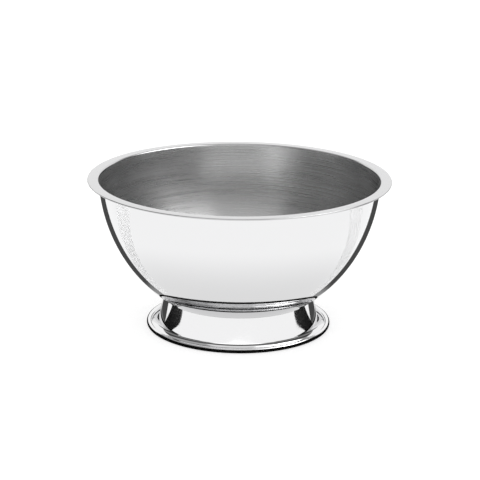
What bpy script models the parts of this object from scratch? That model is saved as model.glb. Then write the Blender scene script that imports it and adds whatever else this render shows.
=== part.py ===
"""Footed punch bowl in stainless sheet: a drawn bowl shell with a flat, hemmed rim, standing on a
spun conical foot with a curled base edge. The foot's turned-in seat follows the bowl's underside
and is held to it by a ring of spot welds.

Units are metres, +Z is up, and the origin is the centre of the base on the table.
"""

from math import asin, atan2, cos, pi, radians, sin, sqrt, tan

import bmesh
import bpy
from mathutils import Vector

# --- driving dimensions -------------------------------------------------------------------------
RIM_RADIUS = 0.170
HEIGHT = 0.172
SHEET = 0.0007
HALF_SHEET = SHEET / 2
FIT_GAP = 0.0003

# The bowl's outer wall is part of an ellipse centred on the axis, a little above the rim.
WALL_HALF_WIDTH = 0.1580
WALL_HALF_HEIGHT = 0.1723
WALL_CENTRE_Z = 0.1798
WALL_FIRST_RADIUS = 0.060
WALL_LAST_RADIUS = 0.1574
BOTTOM_UNDERSIDE_Z = 0.0145
BOTTOM_KNUCKLE = 0.065

RIM_BEND = 0.0018
HEM_HEIGHT = 2 * SHEET + FIT_GAP
HEM_RETURN = 0.0055

SEAT_INNER_RADIUS = 0.069
JUNCTION_RADIUS = 0.0846
JUNCTION_BEND = 0.0010
BASE_CREASE_RADIUS = 0.0920
BASE_COVE = 0.0080
FOOT_RADIUS = 0.1046
BEAD_RADIUS = 0.0029
BEAD_CURL = radians(300)

WELD_COUNT = 8
WELD_RADIUS = 0.0025
WELD_DOME = 0.0003
WELD_CIRCLE_RADIUS = 0.0765

TURNED_STEPS = 48
WELD_STEPS = 16
WALL_STEPS = 10
SEAT_STEPS = 3
BEAD_STEPS = 10
BEND_STEP = radians(20)
SHARP_EDGE = radians(40)


# --- outlines in the (radius, height) plane -----------------------------------------------------
def wall_slope(radius):
    """Angle above the horizontal of the bowl's outer wall, where it has this radius."""
    share = radius / WALL_HALF_WIDTH
    return atan2(WALL_HALF_HEIGHT * share, WALL_HALF_WIDTH * sqrt(1 - share**2))


def wall_point(radius, outside=0.0):
    """Point of the bowl's outer wall at a radius, moved that far out of the bowl."""
    slope = wall_slope(radius)
    z = WALL_CENTRE_Z - WALL_HALF_HEIGHT * sqrt(1 - (radius / WALL_HALF_WIDTH) ** 2)
    return (radius + outside * sin(slope), z - outside * cos(slope))


def arc(centre, radius, start, turn, steps):
    """Points on an arc from the angle start, through the angle turn."""
    angles = [start + turn * i / steps for i in range(steps + 1)]
    return [(centre[0] + radius * cos(a), centre[1] + radius * sin(a)) for a in angles]


def bend(before, corner, after, radius):
    """Arc that rounds off the corner between two straight runs."""
    at = Vector(corner)
    back = (Vector(before) - at).normalized()
    onward = (Vector(after) - at).normalized()
    half_opening = back.angle(onward) / 2
    centre = at + (back + onward).normalized() * (radius / sin(half_opening))
    reach = radius / tan(half_opening)
    first = at + back * reach - centre
    last = at + onward * reach - centre
    turn = atan2(first.cross(last), first.dot(last))
    steps = max(2, round(abs(turn) / BEND_STEP))
    return arc(centre, radius, atan2(first.y, first.x), turn, steps)


def sheet_outline(path):
    """Outline of a sheet whose middle follows the path: out along its right, back on its left."""
    points = [Vector(point) for point in path]
    runs = [(b - a).normalized() for a, b in zip(points, points[1:])]
    right = []
    left = []
    for point, into, out in zip(points, runs[:1] + runs, runs + runs[-1:]):
        tangent = (into + out).normalized()
        across = Vector((tangent.y, -tangent.x)) * (HALF_SHEET / tangent.dot(out))
        right.append(point + across)
        left.append(point - across)
    return right + left[::-1]


def bowl_path():
    """Middle of the bowl's sheet, from the axis to the folded edge of the rim."""
    start = asin(WALL_FIRST_RADIUS / WALL_HALF_WIDTH)
    end = asin(WALL_LAST_RADIUS / WALL_HALF_WIDTH)
    angles = [start + (end - start) * i / WALL_STEPS for i in range(WALL_STEPS + 1)]
    wall = [wall_point(WALL_HALF_WIDTH * sin(a), -HALF_SHEET) for a in angles]

    bottom_z = BOTTOM_UNDERSIDE_Z + HALF_SHEET
    rise = wall[0][1] - bottom_z
    knuckle = (wall[0][0] - rise / tan(wall_slope(WALL_FIRST_RADIUS)), bottom_z)
    axis_point = (0.0, bottom_z)

    rim_z = HEIGHT - HALF_SHEET
    lean = (rim_z - wall[-1][1]) / tan(wall_slope(WALL_LAST_RADIUS))
    rim_corner = (wall[-1][0] + lean, rim_z)

    hem_bend = (HEM_HEIGHT - SHEET) / 2
    hem_centre = (RIM_RADIUS - HALF_SHEET - hem_bend, rim_z - hem_bend)
    hem_end = (RIM_RADIUS - HEM_RETURN, rim_z - 2 * hem_bend)
    return (
        [axis_point]
        + bend(axis_point, knuckle, wall[0], BOTTOM_KNUCKLE)
        + wall
        + bend(wall[-1], rim_corner, (hem_centre[0], rim_z), RIM_BEND)
        + arc(hem_centre, hem_bend, pi / 2, -pi, 4)
        + [hem_end]
    )


def foot_path():
    """Middle of the foot's sheet, from the seat under the bowl to the end of the curled edge."""
    spread = JUNCTION_RADIUS - SEAT_INNER_RADIUS
    radii = [SEAT_INNER_RADIUS + spread * i / SEAT_STEPS for i in range(SEAT_STEPS + 1)]
    seat = [wall_point(radius, FIT_GAP + HALF_SHEET) for radius in radii]
    junction = seat.pop()
    crease = (BASE_CREASE_RADIUS, HALF_SHEET)
    bead_centre = (FOOT_RADIUS - BEAD_RADIUS, BEAD_RADIUS)
    return (
        seat
        + bend(seat[-1], junction, crease, JUNCTION_BEND)
        + bend(junction, crease, (FOOT_RADIUS, HALF_SHEET), BASE_COVE)
        + arc(bead_centre, BEAD_RADIUS - HALF_SHEET, -pi / 2, BEAD_CURL, BEAD_STEPS)
    )


# --- solids -------------------------------------------------------------------------------------
def steel(name, colour, roughness):
    """Metal material in one colour."""
    made = bpy.data.materials.new(name)
    made.use_nodes = True
    shader = made.node_tree.nodes["Principled BSDF"]
    shader.inputs["Base Color"].default_value = (*colour, 1.0)
    shader.inputs["Roughness"].default_value = roughness
    shader.inputs["Metallic"].default_value = 1.0
    return made


def turned(name, outline, steps, finish):
    """Solid of revolution about Z. An outline that starts and ends on the axis stays open there."""
    bm = bmesh.new()
    points = [bm.verts.new((radius, 0.0, z)) for radius, z in outline]
    pairs = list(zip(points, points[1:]))
    if outline[0][0] > 0:
        pairs.append((points[-1], points[0]))
    edges = [bm.edges.new(pair) for pair in pairs]
    bmesh.ops.spin(
        bm,
        geom=points + edges,
        cent=(0, 0, 0),
        axis=(0, 0, 1),
        angle=2 * pi,
        steps=steps,
        use_merge=True,
    )
    bmesh.ops.remove_doubles(bm, verts=bm.verts, dist=1e-6)
    bmesh.ops.recalc_face_normals(bm, faces=bm.faces)
    mesh = bpy.data.meshes.new(name)
    bm.to_mesh(mesh)
    bm.free()
    mesh.materials.append(finish)
    mesh.shade_smooth()
    mesh.set_sharp_from_angle(angle=SHARP_EDGE)
    made = bpy.data.objects.new(name, mesh)
    bpy.context.scene.collection.objects.link(made)
    return made


def place_on_seat(piece, turn):
    """Puts a piece on the weld circle, its +Z square to the seat and pointing into the bowl."""
    radius, z = wall_point(WELD_CIRCLE_RADIUS, FIT_GAP)
    piece.location = (radius * cos(turn), radius * sin(turn), z)
    piece.rotation_euler = (0.0, -wall_slope(WELD_CIRCLE_RADIUS), turn)


def make_bowl(finish):
    return turned("bowl_shell", sheet_outline(bowl_path()), TURNED_STEPS, finish)


def make_foot(finish):
    """The foot, with a round hole through its seat for each weld."""
    foot = turned("pedestal_foot", sheet_outline(foot_path()), TURNED_STEPS, finish)
    hole = WELD_RADIUS + FIT_GAP
    outline = [(0.0, -2 * SHEET), (hole, -2 * SHEET), (hole, SHEET), (0.0, SHEET)]
    for i in range(WELD_COUNT):
        cutter = turned(f"seat_hole_cutter_{i + 1}", outline, WELD_STEPS, finish)
        cutter.hide_render = True
        cutter.display_type = "WIRE"
        place_on_seat(cutter, 2 * pi * i / WELD_COUNT)
        cut = foot.modifiers.new(f"seat_hole_{i + 1}", "BOOLEAN")
        cut.operation = "DIFFERENCE"
        cut.solver = "EXACT"
        cut.object = cutter
    return foot


def make_welds(finish):
    """Weld nuggets: slightly domed buttons that fill the seat's holes under the bowl."""
    crown = -SHEET - WELD_DOME
    outline = [(0.0, crown), (0.6 * WELD_RADIUS, crown + 0.3 * WELD_DOME)]
    outline += [(WELD_RADIUS, -SHEET), (WELD_RADIUS, 0.0), (0.0, 0.0)]
    for i in range(WELD_COUNT):
        weld = turned(f"spot_weld_{i + 1}", outline, WELD_STEPS, finish)
        place_on_seat(weld, 2 * pi * i / WELD_COUNT)


for old in list(bpy.data.objects):
    bpy.data.objects.remove(old, do_unlink=True)

polished = steel("polished_steel", (0.80, 0.80, 0.81), 0.06)
weld_metal = steel("weld_metal", (0.48, 0.46, 0.44), 0.45)
make_bowl(polished)
make_foot(polished)
make_welds(weld_metal)
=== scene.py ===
# Looks of the footed punch bowl: fine turned meshes for the bowl, foot and welds, polished and
# brushed steel, a white studio and the camera. Units are metres; the frame is the CAD model's.
from math import asin, atan2, cos, pi, radians, sin, sqrt, tan

import bmesh
import bpy
from mathutils import Matrix, Vector


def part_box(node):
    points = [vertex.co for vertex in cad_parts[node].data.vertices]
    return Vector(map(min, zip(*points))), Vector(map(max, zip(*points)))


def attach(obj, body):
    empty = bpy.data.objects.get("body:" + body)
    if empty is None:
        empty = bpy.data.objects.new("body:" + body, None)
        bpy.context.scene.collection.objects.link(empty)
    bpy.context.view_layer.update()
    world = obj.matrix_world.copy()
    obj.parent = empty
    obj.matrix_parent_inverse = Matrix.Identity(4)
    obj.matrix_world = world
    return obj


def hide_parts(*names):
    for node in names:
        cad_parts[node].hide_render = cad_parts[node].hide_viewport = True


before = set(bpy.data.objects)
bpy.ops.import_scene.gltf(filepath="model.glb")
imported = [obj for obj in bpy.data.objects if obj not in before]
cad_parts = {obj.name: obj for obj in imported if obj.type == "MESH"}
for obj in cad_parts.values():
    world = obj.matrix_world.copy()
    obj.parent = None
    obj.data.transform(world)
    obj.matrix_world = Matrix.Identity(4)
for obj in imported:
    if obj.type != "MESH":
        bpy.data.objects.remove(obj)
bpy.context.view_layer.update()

# --- sizes, as in the CAD model -----------------------------------------------------------------
BOWL_LOW, BOWL_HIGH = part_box("bowl_shell")
FOOT_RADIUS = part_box("pedestal_foot")[1].x
HEIGHT = BOWL_HIGH.z
RIM_RADIUS = 0.170
SHEET = 0.0007
HALF_SHEET = SHEET / 2
FIT_GAP = 0.0003

WALL_HALF_WIDTH = 0.1580
WALL_HALF_HEIGHT = 0.1723
WALL_CENTRE_Z = 0.1798
WALL_FIRST_RADIUS = 0.060
WALL_LAST_RADIUS = 0.1574
BOTTOM_UNDERSIDE_Z = BOWL_LOW.z
BOTTOM_KNUCKLE = 0.065

RIM_BEND = 0.0018
HEM_HEIGHT = 2 * SHEET + FIT_GAP
HEM_RETURN = 0.0055

SEAT_INNER_RADIUS = 0.069
JUNCTION_RADIUS = 0.0846
BASE_CREASE_RADIUS = 0.0920
BASE_COVE = 0.0080
BEAD_RADIUS = 0.0029
BEAD_CURL = radians(300)

WELD_COUNT = 8
WELD_RADIUS = 0.0025
WELD_CIRCLE_RADIUS = 0.0765

# --- sizes of the looks only --------------------------------------------------------------------
# The foot's seat lies this close to the bowl, and the weld buttons to the seat.
SEAM_GAP = 0.00005
# Thickness of a weld button at its raised ring and at its middle, and where the ring is, as a
# share of the radius.
WELD_CREST = 0.00042
WELD_DIMPLE = 0.00020
WELD_CREST_SHARE = 0.62

TURNED_STEPS = 256
WALL_STEPS = 60
SEAT_STEPS = 10
WELD_STEPS = 48
WELD_OUTLINE_STEPS = 24
BEND_STEP = radians(6)
FEWEST_ARC_STEPS = 4
SHARP_EDGE = radians(35)
# A point of an outline nearer the axis than this is on it.
ON_AXIS = 1e-6


# --- outlines in the (radius, height) plane -----------------------------------------------------
def wall_slope(radius):
    """Angle above the horizontal of the bowl's outer wall, where it has this radius."""
    share = radius / WALL_HALF_WIDTH
    return atan2(WALL_HALF_HEIGHT * share, WALL_HALF_WIDTH * sqrt(1 - share**2))


def wall_point(radius, outside=0.0):
    """Point of the bowl's outer wall at a radius, moved that far out of the bowl."""
    slope = wall_slope(radius)
    z = WALL_CENTRE_Z - WALL_HALF_HEIGHT * sqrt(1 - (radius / WALL_HALF_WIDTH) ** 2)
    return (radius + outside * sin(slope), z - outside * cos(slope))


def arc(centre, radius, start, turn):
    """Points on an arc from the angle start, through the angle turn."""
    steps = max(FEWEST_ARC_STEPS, round(abs(turn) / BEND_STEP))
    angles = [start + turn * i / steps for i in range(steps + 1)]
    return [(centre[0] + radius * cos(a), centre[1] + radius * sin(a)) for a in angles]


def bend(before, corner, after, radius):
    """Arc that rounds off the corner between two straight runs."""
    at = Vector(corner)
    back = (Vector(before) - at).normalized()
    onward = (Vector(after) - at).normalized()
    half_opening = back.angle(onward) / 2
    centre = at + (back + onward).normalized() * (radius / sin(half_opening))
    reach = radius / tan(half_opening)
    first = at + back * reach - centre
    last = at + onward * reach - centre
    turn = atan2(first.cross(last), first.dot(last))
    return arc(centre, radius, atan2(first.y, first.x), turn)


def sheet_sides(path):
    """Right and left side of a sheet whose middle follows the path."""
    points = [Vector(point) for point in path]
    runs = [(b - a).normalized() for a, b in zip(points, points[1:])]
    right = []
    left = []
    for point, into, out in zip(points, runs[:1] + runs, runs + runs[-1:]):
        tangent = (into + out).normalized()
        across = Vector((tangent.y, -tangent.x)) * (HALF_SHEET / tangent.dot(out))
        right.append(point + across)
        left.append(point - across)
    return right, left


def edge_round(start, end):
    """Half-round edge of the sheet, from its right side's last point to its left side's."""
    middle = (start + end) / 2
    first = start - middle
    return [Vector(point) for point in arc(middle, HALF_SHEET, atan2(first.y, first.x), pi)[1:-1]]


def bowl_sections():
    """The bowl's sheet: from the axis up the wall, then the rim out to its folded edge."""
    start = asin(WALL_FIRST_RADIUS / WALL_HALF_WIDTH)
    end = asin(WALL_LAST_RADIUS / WALL_HALF_WIDTH)
    angles = [start + (end - start) * i / WALL_STEPS for i in range(WALL_STEPS + 1)]
    wall = [wall_point(WALL_HALF_WIDTH * sin(a), -HALF_SHEET) for a in angles]

    bottom_z = BOTTOM_UNDERSIDE_Z + HALF_SHEET
    rise = wall[0][1] - bottom_z
    knuckle = (wall[0][0] - rise / tan(wall_slope(WALL_FIRST_RADIUS)), bottom_z)
    axis_point = (0.0, bottom_z)
    bottom = [axis_point] + bend(axis_point, knuckle, wall[0], BOTTOM_KNUCKLE)

    rim_z = HEIGHT - HALF_SHEET
    lean = (rim_z - wall[-1][1]) / tan(wall_slope(WALL_LAST_RADIUS))
    rim_corner = (wall[-1][0] + lean, rim_z)
    hem_bend = (HEM_HEIGHT - SHEET) / 2
    hem_centre = (RIM_RADIUS - HALF_SHEET - hem_bend, rim_z - hem_bend)
    rim = bend(wall[-1], rim_corner, (hem_centre[0], rim_z), RIM_BEND)
    rim += arc(hem_centre, hem_bend, pi / 2, -pi)
    rim += [(RIM_RADIUS - HEM_RETURN, rim_z - 2 * hem_bend)]
    return [(bottom + wall, "mirror", "satin"), (rim, "rim", "rim")]


def foot_sections():
    """The foot's sheet: the seat under the bowl, the cone with its flange, the curled edge."""
    spread = JUNCTION_RADIUS - SEAT_INNER_RADIUS
    radii = [SEAT_INNER_RADIUS + spread * i / SEAT_STEPS for i in range(SEAT_STEPS)]
    seat = [wall_point(radius, SEAM_GAP + HALF_SHEET) for radius in radii]
    junction = wall_point(JUNCTION_RADIUS, SEAM_GAP + HALF_SHEET)
    crease = (BASE_CREASE_RADIUS, HALF_SHEET)
    cone = [junction] + bend(junction, crease, (FOOT_RADIUS, HALF_SHEET), BASE_COVE)
    bead_centre = (FOOT_RADIUS - BEAD_RADIUS, BEAD_RADIUS)
    bead = arc(bead_centre, BEAD_RADIUS - HALF_SHEET, -pi / 2, BEAD_CURL)
    return [(seat, "mill", "mill"), (cone, "mill", "mirror"), (bead, "mirror", "mill")]


# --- meshes -------------------------------------------------------------------------------------
def join_sections(sections):
    """Path points of all sections, and the finish of the path's right and left side at each."""
    path = []
    right_finish = []
    left_finish = []
    for points, right, left in sections:
        path += points
        right_finish += [right] * len(points)
        left_finish += [left] * len(points)
    return path, right_finish, left_finish


def sheet_outline(sections, closed_on_axis):
    """Outline of the sheet as (point, finish) pairs, with its cut edges rounded."""
    path, right_finish, left_finish = join_sections(sections)
    right, left = sheet_sides(path)
    outline = list(zip(right, right_finish))
    outline += [(point, left_finish[-1]) for point in edge_round(right[-1], left[-1])]
    outline += list(zip(left, left_finish[:1] + left_finish))[::-1]
    if not closed_on_axis:
        outline += [(point, right_finish[0]) for point in edge_round(left[0], right[0])]
    return outline


def turned_mesh(name, outline, steps, finishes, on_axis):
    """Solid of revolution about Z, with a material slot for each finish."""
    bm = bmesh.new()
    rings = []
    for (radius, z), _ in outline:
        if radius < ON_AXIS:
            rings.append([bm.verts.new((0.0, 0.0, z))] * steps)
            continue
        angles = [2 * pi * i / steps for i in range(steps)]
        rings.append([bm.verts.new((radius * cos(a), radius * sin(a), z)) for a in angles])
    slots = list(finishes)
    pairs = list(zip(rings, rings[1:], outline))
    if not on_axis:
        pairs.append((rings[-1], rings[0], outline[-1]))
    for near, far, (_, finish) in pairs:
        for i in range(steps):
            j = (i + 1) % steps
            corners = dict.fromkeys((near[i], near[j], far[j], far[i]))
            face = bm.faces.new(corners)
            face.material_index = slots.index(finish)
            face.smooth = True
    bmesh.ops.recalc_face_normals(bm, faces=bm.faces)
    mesh = bpy.data.meshes.new(name)
    bm.to_mesh(mesh)
    bm.free()
    for material in finishes.values():
        mesh.materials.append(material)
    mesh.set_sharp_from_angle(angle=SHARP_EDGE)
    made = bpy.data.objects.new(name, mesh)
    bpy.context.scene.collection.objects.link(made)
    return made


# --- materials ----------------------------------------------------------------------------------
# Most of a noise pattern's values lie between these two.
NOISE_LOW = 0.30
NOISE_HIGH = 0.70
# Keeps a division by the distance from the axis finite on the axis.
LEAST_RADIUS = 1e-5

# Buffed steel: the noise over which cloudy patches and hairline marks grow from nothing to full,
# what they add to the roughness, and the marks' depth.
CLOUD_NOISE = (0.35, 0.70)
CLOUD_HAZE = 0.03
HAIR_NOISE = (0.55, 0.80)
HAIR_HAZE = 0.05
HAIR_DEPTH = 2.0e-7
# Brushed steel: spread of its grey and of its roughness over the streaks, the noise over which
# scratches grow and what they add to the roughness, how far the gloss is drawn out across the
# brushing, and the depth of the streaks.
STREAK_GREY = (0.88, 1.08)
STREAK_ROUGHNESS = (0.80, 1.20)
SCRATCH_NOISE = (0.62, 0.74)
SCRATCH_HAZE = 0.08
BRUSHED_STRETCH = 0.85
QUARTER_TURN = 0.25
BROAD_STREAK_DEPTH = 1.5e-5
FINE_STREAK_DEPTH = 1.2e-6
# Unpolished steel: spread of its roughness over the grain, and depth of the drawing marks.
GRAIN_ROUGHNESS = (0.80, 1.20)
DRAWING_MARK_DEPTH = 4.0e-6
# Welds: how far pits shift the heat tints, the spread of the roughness over the pits, their
# depth, and the tints with their places as a share of the radius.
PIT_SHIFT = 0.10
PIT_ROUGHNESS = (0.70, 1.30)
PIT_DEPTH = 6.0e-5
GREY_TO = 0.30
STRAW_AT = 0.66
STRAW = (0.55, 0.44, 0.30, 1.0)
BLUE_FROM = 0.98
BLUE = (0.30, 0.34, 0.42, 1.0)


class Nodes:
    """Short way to add and wire shader nodes in one material."""

    def __init__(self, tree):
        self.tree = tree

    def add(self, kind, **settings):
        node = self.tree.nodes.new(kind)
        for key, value in settings.items():
            setattr(node, key, value)
        return node

    def link(self, source, target):
        self.tree.links.new(source, target)

    def feed(self, socket, value):
        """Gives the socket a number, or links it to another node's output."""
        if isinstance(value, (int, float)):
            socket.default_value = value
        else:
            self.link(value, socket)

    def math(self, operation, *values):
        node = self.add("ShaderNodeMath", operation=operation)
        for socket, value in zip(node.inputs, values):
            self.feed(socket, value)
        return node.outputs[0]

    def remap(self, value, low, high, to_low, to_high, smooth=False):
        """The value moved from one range to another, and held inside it."""
        node = self.add("ShaderNodeMapRange")
        if smooth:
            node.interpolation_type = "SMOOTHSTEP"
        for socket, given in zip(node.inputs, (value, low, high, to_low, to_high)):
            self.feed(socket, given)
        return node.outputs[0]

    def spread(self, noise, low, high):
        """A noise pattern spread over a range."""
        return self.remap(noise, NOISE_LOW, NOISE_HIGH, low, high)

    def noise(self, vector, scale, detail=2.0, roughness=0.5):
        node = self.add("ShaderNodeTexNoise")
        self.feed(node.inputs["Vector"], vector)
        node.inputs["Scale"].default_value = scale
        node.inputs["Detail"].default_value = detail
        node.inputs["Roughness"].default_value = roughness
        return node.outputs["Fac"]

    def bump(self, height, depth, normal=None):
        """Bumps of a height in metres, on top of those in the given normal."""
        node = self.add("ShaderNodeBump")
        node.inputs["Strength"].default_value = 1.0
        node.inputs["Distance"].default_value = depth
        self.link(height, node.inputs["Height"])
        if normal is not None:
            self.link(normal, node.inputs["Normal"])
        return node.outputs["Normal"]


def metal(name, colour, roughness):
    """New metal material, its nodes and its shader."""
    made = bpy.data.materials.new(name)
    made.use_nodes = True
    shader = made.node_tree.nodes["Principled BSDF"]
    shader.inputs["Base Color"].default_value = (*colour, 1.0)
    shader.inputs["Roughness"].default_value = roughness
    shader.inputs["Metallic"].default_value = 1.0
    return made, Nodes(made.node_tree), shader


def turned_coordinates(nodes, around, across):
    """Coordinates for marks that run round the axis: slow round it, fast from ring to ring."""
    place = nodes.add("ShaderNodeTexCoord").outputs["Object"]
    split = nodes.add("ShaderNodeSeparateXYZ")
    nodes.link(place, split.inputs[0])
    x, y, z = split.outputs
    radius = nodes.math("SQRT", nodes.math("ADD", nodes.math("MULTIPLY", x, x),
                                           nodes.math("MULTIPLY", y, y)))
    radius = nodes.math("MAXIMUM", radius, LEAST_RADIUS)
    joined = nodes.add("ShaderNodeCombineXYZ")
    nodes.link(nodes.math("MULTIPLY", nodes.math("DIVIDE", x, radius), around), joined.inputs[0])
    nodes.link(nodes.math("MULTIPLY", nodes.math("DIVIDE", y, radius), around), joined.inputs[1])
    nodes.link(nodes.math("MULTIPLY", nodes.math("ADD", radius, z), across), joined.inputs[2])
    return joined.outputs[0], place


def mirror_steel(name, colour, roughness, ripple):
    """Buffed steel: faint turned ripples, hairline wiping marks and cloudy patches of haze."""
    made, nodes, shader = metal(name, colour, roughness)
    rings, place = turned_coordinates(nodes, around=1.2, across=60.0)
    hairs, _ = turned_coordinates(nodes, around=14.0, across=2600.0)
    cloud = nodes.noise(place, scale=22.0, detail=4.0, roughness=0.6)
    hair = nodes.noise(hairs, scale=1.0, roughness=0.6)
    haze = nodes.math("ADD", nodes.remap(cloud, *CLOUD_NOISE, 0.0, CLOUD_HAZE),
                      nodes.remap(hair, *HAIR_NOISE, 0.0, HAIR_HAZE))
    nodes.link(nodes.math("ADD", haze, roughness), shader.inputs["Roughness"])
    wave = nodes.bump(nodes.noise(rings, scale=1.0, detail=1.0), ripple)
    nodes.link(nodes.bump(hair, HAIR_DEPTH, wave), shader.inputs["Normal"])
    return made


def satin_steel(name, colour, roughness):
    """Steel brushed round the axis: fine parallel streaks, with some deeper scratches."""
    made, nodes, shader = metal(name, colour, roughness)
    fine, _ = turned_coordinates(nodes, around=2.5, across=2400.0)
    broad, _ = turned_coordinates(nodes, around=1.0, across=260.0)
    fine_streak = nodes.noise(fine, scale=1.0, detail=3.0, roughness=0.7)
    broad_streak = nodes.noise(broad, scale=1.0, detail=3.0, roughness=0.6)
    scratch = nodes.remap(fine_streak, *SCRATCH_NOISE, 0.0, SCRATCH_HAZE)
    streak = nodes.math("MULTIPLY", nodes.math("ADD", fine_streak, broad_streak), 0.5)
    grey = nodes.add("ShaderNodeCombineColor")
    for socket, share in zip(grey.inputs, colour):
        nodes.link(nodes.spread(streak, *(share * side for side in STREAK_GREY)), socket)
    nodes.link(grey.outputs[0], shader.inputs["Base Color"])
    rough = nodes.spread(streak, *(roughness * side for side in STREAK_ROUGHNESS))
    nodes.link(nodes.math("ADD", rough, scratch), shader.inputs["Roughness"])
    shader.inputs["Anisotropic"].default_value = BRUSHED_STRETCH
    shader.inputs["Anisotropic Rotation"].default_value = QUARTER_TURN
    around = nodes.add("ShaderNodeTangent", direction_type="RADIAL", axis="Z")
    nodes.link(around.outputs[0], shader.inputs["Tangent"])
    dents = nodes.bump(broad_streak, BROAD_STREAK_DEPTH)
    nodes.link(nodes.bump(fine_streak, FINE_STREAK_DEPTH, dents), shader.inputs["Normal"])
    return made


def mill_steel(name, colour, roughness):
    """Unpolished sheet inside the foot: matt, with rolling grain and faint drawing marks."""
    made, nodes, shader = metal(name, colour, roughness)
    rings, place = turned_coordinates(nodes, around=3.0, across=900.0)
    grain = nodes.noise(place, scale=900.0, detail=3.0, roughness=0.7)
    marks = nodes.noise(rings, scale=1.0, detail=3.0, roughness=0.6)
    rough = nodes.spread(grain, *(roughness * side for side in GRAIN_ROUGHNESS))
    nodes.link(rough, shader.inputs["Roughness"])
    nodes.link(nodes.bump(marks, DRAWING_MARK_DEPTH), shader.inputs["Normal"])
    return made


def weld_steel(name, colour, roughness):
    """Spot weld: pitted grey middle, with straw and blue heat tints in rings towards the edge."""
    made, nodes, shader = metal(name, colour, roughness)
    place = nodes.add("ShaderNodeTexCoord").outputs["Object"]
    flat = nodes.add("ShaderNodeVectorMath", operation="MULTIPLY")
    nodes.link(place, flat.inputs[0])
    flat.inputs[1].default_value = (1.0, 1.0, 0.0)
    reach = nodes.add("ShaderNodeVectorMath", operation="LENGTH")
    nodes.link(flat.outputs[0], reach.inputs[0])
    pits = nodes.noise(place, scale=2600.0, detail=4.0, roughness=0.65)
    share = nodes.math("DIVIDE", reach.outputs["Value"], WELD_RADIUS)
    share = nodes.math("ADD", share, nodes.spread(pits, -PIT_SHIFT, PIT_SHIFT))
    tint = nodes.add("ShaderNodeValToRGB")
    nodes.link(share, tint.inputs[0])
    ramp = tint.color_ramp
    ramp.elements[0].position = GREY_TO
    ramp.elements[0].color = (*colour, 1.0)
    ramp.elements[1].position = BLUE_FROM
    ramp.elements[1].color = BLUE
    ramp.elements.new(STRAW_AT).color = STRAW
    nodes.link(tint.outputs[0], shader.inputs["Base Color"])
    rough = nodes.spread(pits, *(roughness * side for side in PIT_ROUGHNESS))
    nodes.link(rough, shader.inputs["Roughness"])
    nodes.link(nodes.bump(pits, PIT_DEPTH), shader.inputs["Normal"])
    return made


mirror = mirror_steel("polished_steel", (0.80, 0.80, 0.805), roughness=0.02, ripple=1.0e-5)
rim_polish = mirror_steel("rim_polish", (0.61, 0.61, 0.615), roughness=0.07, ripple=2.0e-6)
satin = satin_steel("brushed_steel", (0.60, 0.60, 0.602), roughness=0.28)
mill = mill_steel("mill_steel", (0.52, 0.52, 0.53), roughness=0.38)
weld_metal = weld_steel("weld_metal", (0.48, 0.46, 0.44), roughness=0.42)


# --- bowl and foot ------------------------------------------------------------------------------
BOWL_FINISHES = {"mirror": mirror, "satin": satin, "rim": rim_polish}
bowl_outline = sheet_outline(bowl_sections(), closed_on_axis=True)
bowl = turned_mesh("bowl", bowl_outline, TURNED_STEPS, BOWL_FINISHES, on_axis=True)
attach(bowl, "root")
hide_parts("bowl_shell")

FOOT_FINISHES = {"mirror": mirror, "mill": mill}
foot_outline = sheet_outline(foot_sections(), closed_on_axis=False)
foot = turned_mesh("foot", foot_outline, TURNED_STEPS, FOOT_FINISHES, on_axis=False)
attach(foot, "root")
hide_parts("pedestal_foot")


# --- spot welds ---------------------------------------------------------------------------------
def weld_outline():
    """Half section of a weld button: dished middle, raised ring, edge that meets the seat."""
    outline = []
    for i in range(WELD_OUTLINE_STEPS):
        share = i / WELD_OUTLINE_STEPS
        climb = sin(pi / 2 * min(1.0, share / WELD_CREST_SHARE)) ** 2
        past_crest = max(0.0, share - WELD_CREST_SHARE) / (1 - WELD_CREST_SHARE)
        thickness = WELD_DIMPLE + (WELD_CREST - WELD_DIMPLE) * climb
        outline.append((WELD_RADIUS * share, -thickness * sqrt(cos(pi / 2 * past_crest))))
    outline += [(WELD_RADIUS, 0.0), (0.0, 0.0)]
    return [(Vector(point), "weld") for point in outline]


def make_welds():
    """Buttons on the seat's underside where the foot is spot welded to the bowl."""
    outline = weld_outline()
    for i in range(WELD_COUNT):
        turn = 2 * pi * i / WELD_COUNT
        weld = turned_mesh(f"weld_{i + 1}", outline, WELD_STEPS, {"weld": weld_metal},
                           on_axis=True)
        radius, z = wall_point(WELD_CIRCLE_RADIUS, SEAM_GAP + SHEET + SEAM_GAP)
        weld.location = (radius * cos(turn), radius * sin(turn), z)
        weld.rotation_euler = (0.0, -wall_slope(WELD_CIRCLE_RADIUS), turn)
        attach(weld, "root")
        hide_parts(f"spot_weld_{i + 1}")


make_welds()

# --- studio -------------------------------------------------------------------------------------
# The camera and matt surfaces see a white floor under a white sky. Mirror-like surfaces see cards
# instead: a dome with panels, a floor that glows and is dimmer round the foot as a painted
# shadow, and black and grey cards near the object, one of them a ring of painted contact shadow.
WHITE = (1.0, 1.0, 1.0, 1.0)
FLOOR_RADIUS = 6.0
FLOOR_GREY = 0.42
FLOOR_ROUGHNESS = 0.9
FLOOR_LIGHT = 0.66
SKY_LIGHT = 1.2
# Heights of the three floors, a hair apart: the plain one, the glow and the louvres' own.
FLOOR_Z = -0.0002
FLOOR_GLOW_Z = -0.0001
LOUVRE_FLOOR_Z = -0.00005
# Steps round a disc or the ring of painted contact shadow, and along the other cards' curved
# edges.
DISC_STEPS = 96
FLAG_STEPS = 24
LOUVRE_FLOOR_STEPS = 40
CARD_BLACK = 0.01
CARD_ROUGHNESS = 1.0

LENS_MM = 132.57
SENSOR_MM = 36.0
CAMERA_SHIFT = 0.0021
CAMERA_DISTANCE = 2.0
CAMERA_ELEVATION = radians(16.779)
CAMERA_ROLL = radians(0.593)
AIM_HEIGHT = 0.09861

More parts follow.
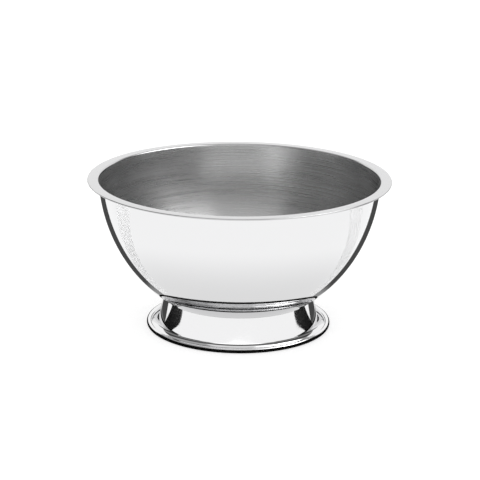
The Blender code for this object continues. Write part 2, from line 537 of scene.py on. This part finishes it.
DOME_RADIUS = 5.5
DOME_SEGMENTS = 64
DOME_RINGS = 48
DOME_DARK = 0.07
# Glowing panels of the dome. Angles are degrees: elevation above the floor, and azimuth from the
# camera's side, positive to its right. A panel whose elevation ends past 90 takes in the zenith.
PANELS = (
    # elevation from, to, blur; azimuth from, to, blur; brightness
    # low wall on the camera's side, the bright strip over it, the lower wall that reaches
    # further round, and two dim bands over that
    ((-9.0, 8.0, 2.0), (-54.0, 54.0, 8.0), 1.10),
    ((6.5, 12.0, 2.0), (-36.0, 36.0, 16.0), 1.90),
    ((-9.0, 5.0, 1.5), (-92.0, 92.0, 3.0), 1.10),
    ((13.0, 19.0, 2.0), (-130.0, 130.0, 5.0), 0.32),
    ((5.0, 14.0, 2.0), (-130.0, 130.0, 5.0), 0.12),
    # ceiling, brighter on the camera's side, and the lamps high on the right
    ((34.0, 99.0, 5.0), (-200.0, 200.0, 5.0), 0.42),
    ((34.0, 99.0, 5.0), (-52.0, 60.0, 12.0), 0.84),
    ((44.0, 74.0, 12.0), (30.0, 108.0, 26.0), 2.10),
    ((48.0, 70.0, 12.0), (56.0, 108.0, 26.0), 5.00),
    ((40.0, 62.0, 8.0), (68.0, 124.0, 16.0), 4.50),
    # rear wall, in two halves because the azimuth jumps there
    ((8.0, 36.0, 2.5), (128.0, 200.0, 5.0), 1.08),
    ((8.0, 36.0, 2.5), (-200.0, -128.0, 5.0), 1.08),
)
# Glow of the floor as mirror-like surfaces see it, dimmer round the foot as a painted shadow of
# the bowl: (distance from the axis, brightness).
FLOOR_GLOW_SHADED_NEAR = (0.110, 0.876)
FLOOR_GLOW_FAR = (0.275, 1.10)
# Glow of the grey rear flags, brighter beside the foot: (distance from the axis, brightness).
FLAG_GLOW_NEAR = (0.115, 0.30)
FLAG_GLOW_FAR = (0.150, 0.07)
# Each flag lies on the floor beside and behind the object. Its front edge is the curve
# y = a + b x + c x**2 from one x to another. Its inner edge is the line x = a + b y behind the
# axis, and x = a in front of it.
FLAG_CURVE = (-0.082, 0.495, 1.22)
FLAG_INNER_EDGE = (0.100, 0.26)
FLAG_FROM = 0.106
FLAG_TO = 0.640
# Black ring of painted contact shadow round the foot's curled edge, seen only in reflections, as
# (radius, height).
CONTACT_SHADE_RING = ((0.1022, 0.0001), (0.1078, 0.0001), (0.1080, 0.0040), (0.1062, 0.0068))
# Louvres beside the foot that stop only the flattest rays. Both edges of a field of them follow
# y = a + b x + c / x on the floor. Each field has its side, and how far back it is moved.
LOUVRE_FIELDS = ((-1.0, 0.0), (1.0, 0.005))
LOUVRE_FROM = 0.110
LOUVRE_TO = 0.90
LOUVRE_NEAR_EDGE = (0.0491, -0.1001, -0.00902)
LOUVRE_FAR_EDGE = (0.0293, 0.2618, -0.00745)
# Gap between two fins, as a share of their distance to the side.
LOUVRE_SPACING = 0.003
# A fin stops rays up to the steepest angle, or up to the line to a point just off the top of the
# foot's cone where that is flatter, and is taller than that by the margin.
LOUVRE_STEEPEST = radians(14.5)
LOUVRE_MARGIN = 1.15
OFF_CONE_Z = 0.036
OFF_CONE_RADIUS = 0.84 * FOOT_RADIUS
# The floor between the fins glows this much more, to make up for what they hide from above.
LOUVRE_GAIN = 1.24


def seen_only_in_gloss(card):
    """Marks a card of the studio that only mirror-like surfaces see."""
    card.visible_camera = False
    card.visible_diffuse = False
    card.visible_transmission = False
    card.visible_volume_scatter = False
    card.visible_shadow = False


def stage_object(name, mesh, material):
    """New object of the studio with that mesh and material."""
    mesh.materials.append(material)
    made = bpy.data.objects.new(name, mesh)
    bpy.context.scene.collection.objects.link(made)
    return made


def stage_mesh(name, corners, faces, material):
    """New object of the studio, made of corners and faces."""
    mesh = bpy.data.meshes.new(name)
    mesh.from_pydata(corners, [], faces)
    return stage_object(name, mesh, material)


def disc(name, radius, z, material):
    """Level disc round the axis."""
    angles = [2 * pi * i / DISC_STEPS for i in range(DISC_STEPS)]
    corners = [(radius * cos(a), radius * sin(a), z) for a in angles]
    return stage_mesh(name, corners, [range(DISC_STEPS)], material)


def matt(name, grey, roughness):
    """New matt material without any gloss, and its shader."""
    made = bpy.data.materials.new(name)
    made.use_nodes = True
    shader = made.node_tree.nodes["Principled BSDF"]
    shader.inputs["Base Color"].default_value = (grey, grey, grey, 1.0)
    shader.inputs["Roughness"].default_value = roughness
    shader.inputs["Specular IOR Level"].default_value = 0.0
    return made, shader


def floor_material():
    """Pale floor that glows a little, so it stays white in the object's shade."""
    made, shader = matt("studio_floor", FLOOR_GREY, FLOOR_ROUGHNESS)
    shader.inputs["Emission Color"].default_value = WHITE
    shader.inputs["Emission Strength"].default_value = FLOOR_LIGHT
    return made


def glowing(name):
    """New material that only glows, its nodes and the socket for its brightness."""
    made = bpy.data.materials.new(name)
    made.use_nodes = True
    made.node_tree.nodes.clear()
    nodes = Nodes(made.node_tree)
    glow = nodes.add("ShaderNodeEmission")
    nodes.link(glow.outputs[0], nodes.add("ShaderNodeOutputMaterial").inputs["Surface"])
    return made, nodes, glow.inputs["Strength"]


def between(nodes, value, low, high, blur):
    """1 where the value is between two limits, with a soft edge of that width at each."""
    rise = nodes.remap(value, low - blur / 2, low + blur / 2, 0.0, 1.0, smooth=True)
    fall = nodes.remap(value, high - blur / 2, high + blur / 2, 1.0, 0.0, smooth=True)
    return nodes.math("MULTIPLY", rise, fall)


def dome_material():
    """Glow of the dome by direction: dark, with the panels on it."""
    made, nodes, strength = glowing("studio_dome")
    unit = nodes.add("ShaderNodeVectorMath", operation="NORMALIZE")
    nodes.link(nodes.add("ShaderNodeTexCoord").outputs["Object"], unit.inputs[0])
    split = nodes.add("ShaderNodeSeparateXYZ")
    nodes.link(unit.outputs[0], split.inputs[0])
    x, y, z = split.outputs
    away = nodes.math("MULTIPLY", y, -1.0)
    elevation = nodes.math("DEGREES", nodes.math("ARCSINE", z))
    azimuth = nodes.math("DEGREES", nodes.math("ARCTAN2", x, away))
    total = DOME_DARK
    for elevations, azimuths, brightness in PANELS:
        panel = nodes.math("MULTIPLY", between(nodes, elevation, *elevations),
                           between(nodes, azimuth, *azimuths))
        total = nodes.math("MAXIMUM", nodes.math("MULTIPLY", panel, brightness), total)
    nodes.link(total, strength)
    return made


def graded_card(name, near, far, gain=1.0):
    """Glowing material whose brightness changes with the distance from the axis."""
    made, nodes, strength = glowing(name)
    reach = nodes.add("ShaderNodeVectorMath", operation="LENGTH")
    nodes.link(nodes.add("ShaderNodeTexCoord").outputs["Object"], reach.inputs[0])
    level = nodes.remap(reach.outputs["Value"], near[0], far[0], near[1] * gain, far[1] * gain,
                        smooth=True)
    nodes.link(level, strength)
    return made


def make_dome():
    """Dome all round, which holds the panels."""
    bm = bmesh.new()
    bmesh.ops.create_uvsphere(bm, u_segments=DOME_SEGMENTS, v_segments=DOME_RINGS,
                              radius=DOME_RADIUS)
    mesh = bpy.data.meshes.new("studio_dome")
    bm.to_mesh(mesh)
    bm.free()
    seen_only_in_gloss(stage_object("studio_dome", mesh, dome_material()))


def make_rear_flags(grey):
    """Grey cards behind the object that its outline reflects."""
    still, across, square = FLAG_CURVE
    inner, spread = FLAG_INNER_EDGE
    for name, side in (("left", -1.0), ("right", 1.0)):
        front = []
        for i in range(FLAG_STEPS + 1):
            x = FLAG_FROM + (FLAG_TO - FLAG_FROM) * i / FLAG_STEPS
            front.append((x, still + across * x + square * x * x))
        back = [(min(x, inner + spread * max(y, 0.0)), y) for x, y in front]
        corners = [(side * x, y, 0.0) for x, y in front + back]
        row = FLAG_STEPS + 1
        faces = [(i, i + 1, i + 1 + row, i + row) for i in range(FLAG_STEPS)]
        seen_only_in_gloss(stage_mesh(f"rear_flag_{name}", corners, faces, grey))


def make_contact_shade_ring(black):
    """Strip of black card round the foot's edge, a painted contact shadow that that edge and the
    flange reflect.
    """
    corners = []
    faces = []
    rows = len(CONTACT_SHADE_RING)
    for i in range(DISC_STEPS + 1):
        a = 2 * pi * i / DISC_STEPS
        corners += [(radius * cos(a), radius * sin(a), z) for radius, z in CONTACT_SHADE_RING]
    for i in range(DISC_STEPS):
        for row in range(rows - 1):
            near = i * rows + row
            faces.append((near, near + 1, near + rows + 1, near + rows))
    seen_only_in_gloss(stage_mesh("painted_contact_shade", corners, faces, black))


def louvre_ends(x, back):
    """Where a louvre that far to the side starts and ends, front to back."""
    edges = (LOUVRE_NEAR_EDGE, LOUVRE_FAR_EDGE)
    return [back + still + along * x + over / x for still, along, over in edges]


def make_louvres(black):
    """Low black fins on the floor, close enough together to stop flat rays and few others."""
    corners = []
    faces = []
    for side, back in LOUVRE_FIELDS:
        x = LOUVRE_FROM
        while x < LOUVRE_TO:
            gap = LOUVRE_SPACING * x
            slope = min(tan(LOUVRE_STEEPEST), OFF_CONE_Z / (x - OFF_CONE_RADIUS))
            first = len(corners)
            for y in louvre_ends(x, back):
                corners += [(side * x, y, 0.0), (side * x, y, gap * slope * LOUVRE_MARGIN)]
            faces.append((first, first + 2, first + 3, first + 1))
            x += gap
    seen_only_in_gloss(stage_mesh("louvres", corners, faces, black))


def make_louvre_floor(glow):
    """Brighter floor between the fins, dimmer round the foot as a painted shadow of the bowl."""
    corners = []
    faces = []
    for side, back in LOUVRE_FIELDS:
        first = len(corners)
        for i in range(LOUVRE_FLOOR_STEPS + 1):
            x = LOUVRE_FROM + (LOUVRE_TO - LOUVRE_FROM) * i / LOUVRE_FLOOR_STEPS
            corners += [(side * x, y, LOUVRE_FLOOR_Z) for y in louvre_ends(x, back)]
        for near in range(first, len(corners) - 2, 2):
            faces.append((near, near + 1, near + 3, near + 2))
    seen_only_in_gloss(stage_mesh("louvre_floor", corners, faces, glow))


def make_sky():
    """White sky that lights the scene and that mirror-like surfaces don't see."""
    world = bpy.data.worlds.new("studio_world")
    bpy.context.scene.world = world
    world.use_nodes = True
    sky = world.node_tree.nodes["Background"]
    sky.inputs["Color"].default_value = WHITE
    sky.inputs["Strength"].default_value = SKY_LIGHT
    world.cycles_visibility.glossy = False


def make_camera():
    """Camera in front of the object, looking down on it, with the photograph's slight roll."""
    lens = bpy.data.cameras.new("camera")
    lens.lens = LENS_MM
    lens.sensor_width = SENSOR_MM
    lens.shift_x = CAMERA_SHIFT
    camera = bpy.data.objects.new("camera", lens)
    bpy.context.scene.collection.objects.link(camera)
    away = CAMERA_DISTANCE * cos(CAMERA_ELEVATION)
    height = AIM_HEIGHT + CAMERA_DISTANCE * sin(CAMERA_ELEVATION)
    camera.matrix_world = (
        Matrix.Translation((0.0, -away, height))
        @ Matrix.Rotation(pi / 2 - CAMERA_ELEVATION, 4, "X")
        @ Matrix.Rotation(CAMERA_ROLL, 4, "Z")
    )
    bpy.context.scene.camera = camera


floor = disc("floor", FLOOR_RADIUS, FLOOR_Z, floor_material())
floor.visible_glossy = False
# Floor as mirror-like surfaces see it, with a painted shadow dimming it round the foot.
floor_glow_painted_shadow = graded_card("floor_glow_painted_shadow", FLOOR_GLOW_SHADED_NEAR, FLOOR_GLOW_FAR)
seen_only_in_gloss(disc("floor_glow_painted_shadow", FLOOR_RADIUS, FLOOR_GLOW_Z, floor_glow_painted_shadow))
make_dome()
make_rear_flags(graded_card("card_grey", FLAG_GLOW_NEAR, FLAG_GLOW_FAR))
card_black, _ = matt("card_black", CARD_BLACK, CARD_ROUGHNESS)
# Painted contact shadow round the foot, seen only in reflections.
make_contact_shade_ring(card_black)
make_louvres(card_black)
make_louvre_floor(graded_card("louvre_floor", FLOOR_GLOW_SHADED_NEAR, FLOOR_GLOW_FAR, LOUVRE_GAIN))
make_sky()
make_camera()
bpy.context.scene.view_settings.view_transform = "Standard"
